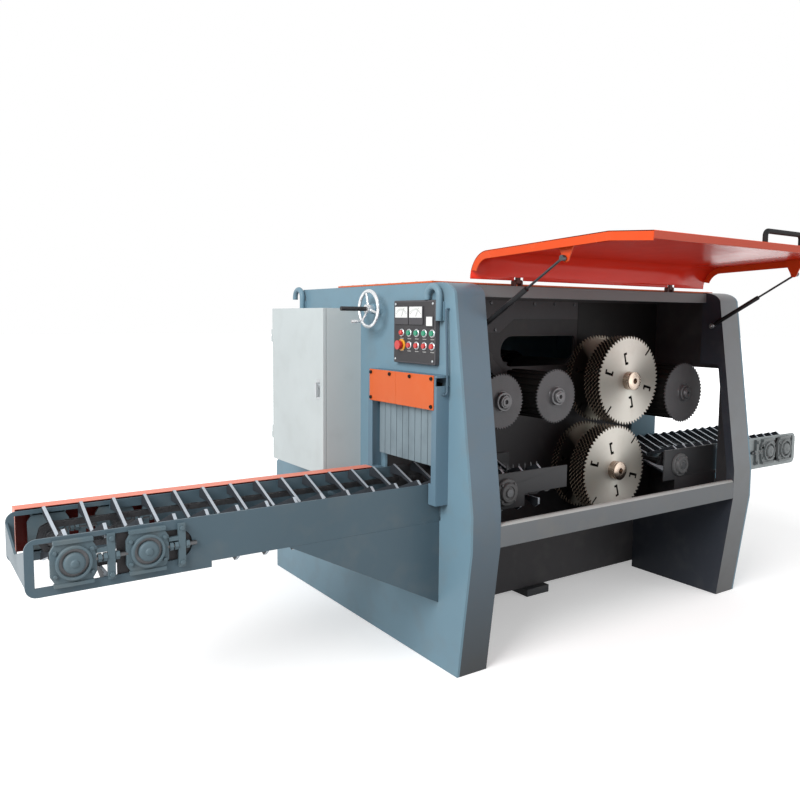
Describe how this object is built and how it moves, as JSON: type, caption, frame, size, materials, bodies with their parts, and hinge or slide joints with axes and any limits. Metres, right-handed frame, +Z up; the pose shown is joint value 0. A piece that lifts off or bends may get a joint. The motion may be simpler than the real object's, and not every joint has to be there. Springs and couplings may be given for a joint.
{
  "type": "multi rip saw",
  "caption": "Multi rip saw: slat conveyors carry a log through a boxed frame between two overhung stacks of circular blades, under press rollers and a hinged hood.",
  "frame": {"origin": "centre of the four floor anchor holes, at floor level", "axes": "+X along the feed from infeed to outfeed, +Y from the service side to the rear, +Z up"},
  "size_m": [4.385, 2.543, 1.85],
  "materials": {
    "blue_paint": "semi-gloss blue-grey machine enamel",
    "dark_paint": "satin dark grey paint",
    "black_paint": "satin black paint, dusty",
    "orange_paint": "semi-gloss orange enamel",
    "pale_paint": "pale grey powder coat",
    "panel_plastic": "matte dark panel",
    "worn_steel": "flame-cut worn steel",
    "blade_steel": "satin ground steel",
    "dark_steel": "oiled dark steel",
    "bright_chrome": "polished chrome plating",
    "belt_rubber": "matte ribbed rubber",
    "green_plastic": "gloss green plastic",
    "red_plastic": "gloss red plastic"
  },
  "bodies": {
    "machine_frame": {"infeed_side_plate": "blue_paint", "outfeed_side_plate": "blue_paint", "front_columns": "blue_paint", "front_sill": "blue_paint", "top_front_beam": "dark_paint", "chamber_wall": "black_paint", "top_cover": "orange_paint", "base_frame": "dark_paint", "rear_panels": "blue_paint", "lifting_hooks": "blue_paint", "infeed_guard_box": "blue_paint", "infeed_guard_plate": "orange_paint", "cabinet_shell": "pale_paint", "control_panel": "panel_plastic", "conveyor_rails": "blue_paint", "conveyor_chains": "dark_steel", "conveyor_slats": "worn_steel", "conveyor_bearings": "blue_paint", "chain_cover": "orange_paint", "arbor_housings": "dark_paint", "drive_motors": "dark_paint", "drive_belts": "belt_rubber"},
    "hood": {"hood": "orange_paint"},
    "strut_cylinder_infeed": {"strut_cylinder_infeed": "black_paint"},
    "strut_rod_infeed": {"strut_rod_infeed": "bright_chrome"},
    "strut_cylinder_outfeed": {"strut_cylinder_outfeed": "black_paint"},
    "strut_rod_outfeed": {"strut_rod_outfeed": "bright_chrome"},
    "upper_spindle": {"upper_arbor": "dark_steel", "upper_blades": "blade_steel"},
    "lower_spindle": {"lower_arbor": "dark_steel", "lower_blades": "blade_steel"},
    "upper_motor_pulley": {"upper_motor_pulley": "dark_steel"},
    "lower_motor_pulley": {"lower_motor_pulley": "dark_steel"},
    "press_arm_1": {"press_arm_1": "dark_paint"},
    "press_roller_1": {"press_roller_1": "dark_steel"},
    "press_arm_2": {"press_arm_2": "dark_paint"},
    "press_roller_2": {"press_roller_2": "dark_steel"},
    "press_arm_3": {"press_arm_3": "dark_paint"},
    "press_roller_3": {"press_roller_3": "dark_steel"},
    "cabinet_door": {"cabinet_door": "pale_paint"},
    "cabinet_lock": {"cabinet_lock": "dark_steel"},
    "handwheel": {"handwheel": "bright_chrome"},
    "adjusting_screw": {"adjusting_screw": "dark_steel"},
    "infeed_drive_shaft": {"infeed_drive_shaft": "dark_steel"},
    "infeed_tail_shaft": {"infeed_tail_shaft": "dark_steel"},
    "infeed_idler_shaft": {"infeed_idler_shaft": "dark_steel"},
    "infeed_head_shaft": {"infeed_head_shaft": "dark_steel"},
    "outfeed_drive_shaft": {"outfeed_drive_shaft": "dark_steel"},
    "outfeed_idler_shaft": {"outfeed_idler_shaft": "dark_steel"},
    "outfeed_tail_shaft": {"outfeed_tail_shaft": "dark_steel"},
    "kickback_fingers": {"kickback_fingers": "worn_steel"},
    "green_button_1": {"green_button_1": "green_plastic"},
    "green_button_2": {"green_button_2": "green_plastic"},
    "green_button_3": {"green_button_3": "green_plastic"},
    "green_button_4": {"green_button_4": "green_plastic"},
    "red_button_1": {"red_button_1": "red_plastic"},
    "red_button_2": {"red_button_2": "red_plastic"},
    "red_button_3": {"red_button_3": "red_plastic"},
    "red_button_4": {"red_button_4": "red_plastic"},
    "emergency_stop": {"emergency_stop": "red_plastic"}
  },
  "joints": [
    {"name": "hood_hinge", "type": "hinge", "parent": "machine_frame", "child": "hood", "pos_m": [0, -0.696, 1.664], "axis": [1, 0, 0], "range_deg": [0, 86]},
    {"name": "strut_cylinder_infeed_pivot", "type": "hinge", "parent": "machine_frame", "child": "strut_cylinder_infeed", "pos_m": [-0.803, -0.78, 1.47], "axis": [1, 0, 0], "range_deg": [0, 118]},
    {"name": "strut_rod_infeed_slide", "type": "slide", "parent": "strut_cylinder_infeed", "child": "strut_rod_infeed", "axis": [0, -0.8666, 0.4991], "range_m": [-0.186, 0]},
    {"name": "strut_cylinder_outfeed_pivot", "type": "hinge", "parent": "machine_frame", "child": "strut_cylinder_outfeed", "pos_m": [0.803, -0.78, 1.47], "axis": [1, 0, 0], "range_deg": [0, 118]},
    {"name": "strut_rod_outfeed_slide", "type": "slide", "parent": "strut_cylinder_outfeed", "child": "strut_rod_outfeed", "axis": [0, -0.8666, 0.4991], "range_m": [-0.186, 0]},
    {"name": "upper_arbor_spin", "type": "hinge", "parent": "machine_frame", "child": "upper_spindle", "pos_m": [0.338, -0.516, 1.18101], "axis": [0, 1, 0], "continuous": true},
    {"name": "lower_arbor_spin", "type": "hinge", "parent": "machine_frame", "child": "lower_spindle", "pos_m": [0.248, -0.516, 0.714], "axis": [0, 1, 0], "continuous": true},
    {"name": "upper_motor_pulley_spin", "type": "hinge", "parent": "machine_frame", "child": "upper_motor_pulley", "pos_m": [-0.223, 0.345, 1], "axis": [0, 1, 0], "continuous": true},
    {"name": "lower_motor_pulley_spin", "type": "hinge", "parent": "machine_frame", "child": "lower_motor_pulley", "pos_m": [-0.223, 0.345, 0.33], "axis": [0, 1, 0], "continuous": true},
    {"name": "press_arm_1_pivot", "type": "hinge", "parent": "machine_frame", "child": "press_arm_1", "pos_m": [-0.748, -0.328, 1.293], "axis": [0, -1, 0], "range_deg": [0, 15]},
    {"name": "press_roller_1_spin", "type": "hinge", "parent": "press_arm_1", "child": "press_roller_1", "pos_m": [-0.578, -0.48, 1.123], "axis": [0, 1, 0], "continuous": true},
    {"name": "press_arm_2_pivot", "type": "hinge", "parent": "machine_frame", "child": "press_arm_2", "pos_m": [-0.403, -0.328, 1.3], "axis": [0, -1, 0], "range_deg": [0, 15]},
    {"name": "press_roller_2_spin", "type": "hinge", "parent": "press_arm_2", "child": "press_roller_2", "pos_m": [-0.233, -0.48, 1.13], "axis": [0, 1, 0], "continuous": true},
    {"name": "press_arm_3_pivot", "type": "hinge", "parent": "machine_frame", "child": "press_arm_3", "pos_m": [0.585, -0.328, 1.271], "axis": [0, -1, 0], "range_deg": [0, 15]},
    {"name": "press_roller_3_spin", "type": "hinge", "parent": "press_arm_3", "child": "press_roller_3", "pos_m": [0.755, -0.48, 1.101], "axis": [0, 1, 0], "continuous": true},
    {"name": "cabinet_door_hinge", "type": "hinge", "parent": "machine_frame", "child": "cabinet_door", "pos_m": [-1.183, 0.502, 1.145], "axis": [0, 0, -1], "range_deg": [0, 115]},
    {"name": "cabinet_lock_turn", "type": "hinge", "parent": "cabinet_door", "child": "cabinet_lock", "pos_m": [-1.193, -0.028, 1.175], "axis": [1, 0, 0], "range_deg": [0, 90]},
    {"name": "handwheel_turn", "type": "hinge", "parent": "machine_frame", "child": "handwheel", "pos_m": [-1.045, -0.247, 1.541], "axis": [1, 0, 0], "range_deg": [-1800, 1800]},
    {"name": "adjusting_screw_slide", "type": "slide", "parent": "machine_frame", "child": "adjusting_screw", "axis": [1, 0, 0], "range_m": [-0.0251, 0.0251]},
    {"name": "infeed_drive_shaft_spin", "type": "hinge", "parent": "machine_frame", "child": "infeed_drive_shaft", "pos_m": [-0.608, -0.516, 0.72], "axis": [0, 1, 0], "continuous": true},
    {"name": "infeed_tail_shaft_spin", "type": "hinge", "parent": "machine_frame", "child": "infeed_tail_shaft", "pos_m": [-2.445, -0.516, 0.72], "axis": [0, 1, 0], "continuous": true},
    {"name": "infeed_idler_shaft_spin", "type": "hinge", "parent": "machine_frame", "child": "infeed_idler_shaft", "pos_m": [-2.212, -0.516, 0.72], "axis": [0, 1, 0], "continuous": true},
    {"name": "infeed_head_shaft_spin", "type": "hinge", "parent": "machine_frame", "child": "infeed_head_shaft", "pos_m": [-0.343, -0.516, 0.72], "axis": [0, 1, 0], "continuous": true},
    {"name": "outfeed_drive_shaft_spin", "type": "hinge", "parent": "machine_frame", "child": "outfeed_drive_shaft", "pos_m": [0.642, -0.516, 0.72], "axis": [0, 1, 0], "continuous": true},
    {"name": "outfeed_idler_shaft_spin", "type": "hinge", "parent": "machine_frame", "child": "outfeed_idler_shaft", "pos_m": [1.481, -0.516, 0.72], "axis": [0, 1, 0], "continuous": true},
    {"name": "outfeed_tail_shaft_spin", "type": "hinge", "parent": "machine_frame", "child": "outfeed_tail_shaft", "pos_m": [1.658, -0.516, 0.72], "axis": [0, 1, 0], "continuous": true},
    {"name": "kickback_fingers_swing", "type": "hinge", "parent": "machine_frame", "child": "kickback_fingers", "pos_m": [-1.013, -0.516, 1.19], "axis": [0, -1, 0], "range_deg": [0, 60]},
    {"name": "green_button_1_press", "type": "slide", "parent": "machine_frame", "child": "green_button_1", "axis": [1, 0, 0], "range_m": [0, 0.004], "stiffness_N_per_m": 600, "springref_m": -0.002},
    {"name": "green_button_2_press", "type": "slide", "parent": "machine_frame", "child": "green_button_2", "axis": [1, 0, 0], "range_m": [0, 0.004], "stiffness_N_per_m": 600, "springref_m": -0.002},
    {"name": "green_button_3_press", "type": "slide", "parent": "machine_frame", "child": "green_button_3", "axis": [1, 0, 0], "range_m": [0, 0.004], "stiffness_N_per_m": 600, "springref_m": -0.002},
    {"name": "green_button_4_press", "type": "slide", "parent": "machine_frame", "child": "green_button_4", "axis": [1, 0, 0], "range_m": [0, 0.004], "stiffness_N_per_m": 600, "springref_m": -0.002},
    {"name": "red_button_1_press", "type": "slide", "parent": "machine_frame", "child": "red_button_1", "axis": [1, 0, 0], "range_m": [0, 0.004], "stiffness_N_per_m": 600, "springref_m": -0.002},
    {"name": "red_button_2_press", "type": "slide", "parent": "machine_frame", "child": "red_button_2", "axis": [1, 0, 0], "range_m": [0, 0.004], "stiffness_N_per_m": 600, "springref_m": -0.002},
    {"name": "red_button_3_press", "type": "slide", "parent": "machine_frame", "child": "red_button_3", "axis": [1, 0, 0], "range_m": [0, 0.004], "stiffness_N_per_m": 600, "springref_m": -0.002},
    {"name": "red_button_4_press", "type": "slide", "parent": "machine_frame", "child": "red_button_4", "axis": [1, 0, 0], "range_m": [0, 0.004], "stiffness_N_per_m": 600, "springref_m": -0.002},
    {"name": "emergency_stop_press", "type": "slide", "parent": "machine_frame", "child": "emergency_stop", "axis": [1, 0, 0], "range_m": [0, 0.004], "stiffness_N_per_m": 800, "springref_m": -0.002}
  ],
  "couplings": [
    {"joint": "strut_cylinder_infeed_pivot", "follows": "hood_hinge", "ratio": 1.3605},
    {"joint": "strut_rod_infeed_slide", "follows": "hood_hinge", "m_per_rad": -0.12285},
    {"joint": "strut_cylinder_outfeed_pivot", "follows": "hood_hinge", "ratio": 1.3605},
    {"joint": "strut_rod_outfeed_slide", "follows": "hood_hinge", "m_per_rad": -0.12285},
    {"joint": "upper_motor_pulley_spin", "follows": "upper_arbor_spin", "ratio": 0.78571},
    {"joint": "lower_motor_pulley_spin", "follows": "lower_arbor_spin", "ratio": 0.78571},
    {"joint": "adjusting_screw_slide", "follows": "handwheel_turn", "m_per_rad": 0.0007958},
    {"joint": "infeed_tail_shaft_spin", "follows": "infeed_drive_shaft_spin", "ratio": 1},
    {"joint": "infeed_idler_shaft_spin", "follows": "infeed_drive_shaft_spin", "ratio": 1},
    {"joint": "infeed_head_shaft_spin", "follows": "infeed_drive_shaft_spin", "ratio": 1},
    {"joint": "outfeed_idler_shaft_spin", "follows": "outfeed_drive_shaft_spin", "ratio": 1},
    {"joint": "outfeed_tail_shaft_spin", "follows": "outfeed_drive_shaft_spin", "ratio": 1}
  ]
}
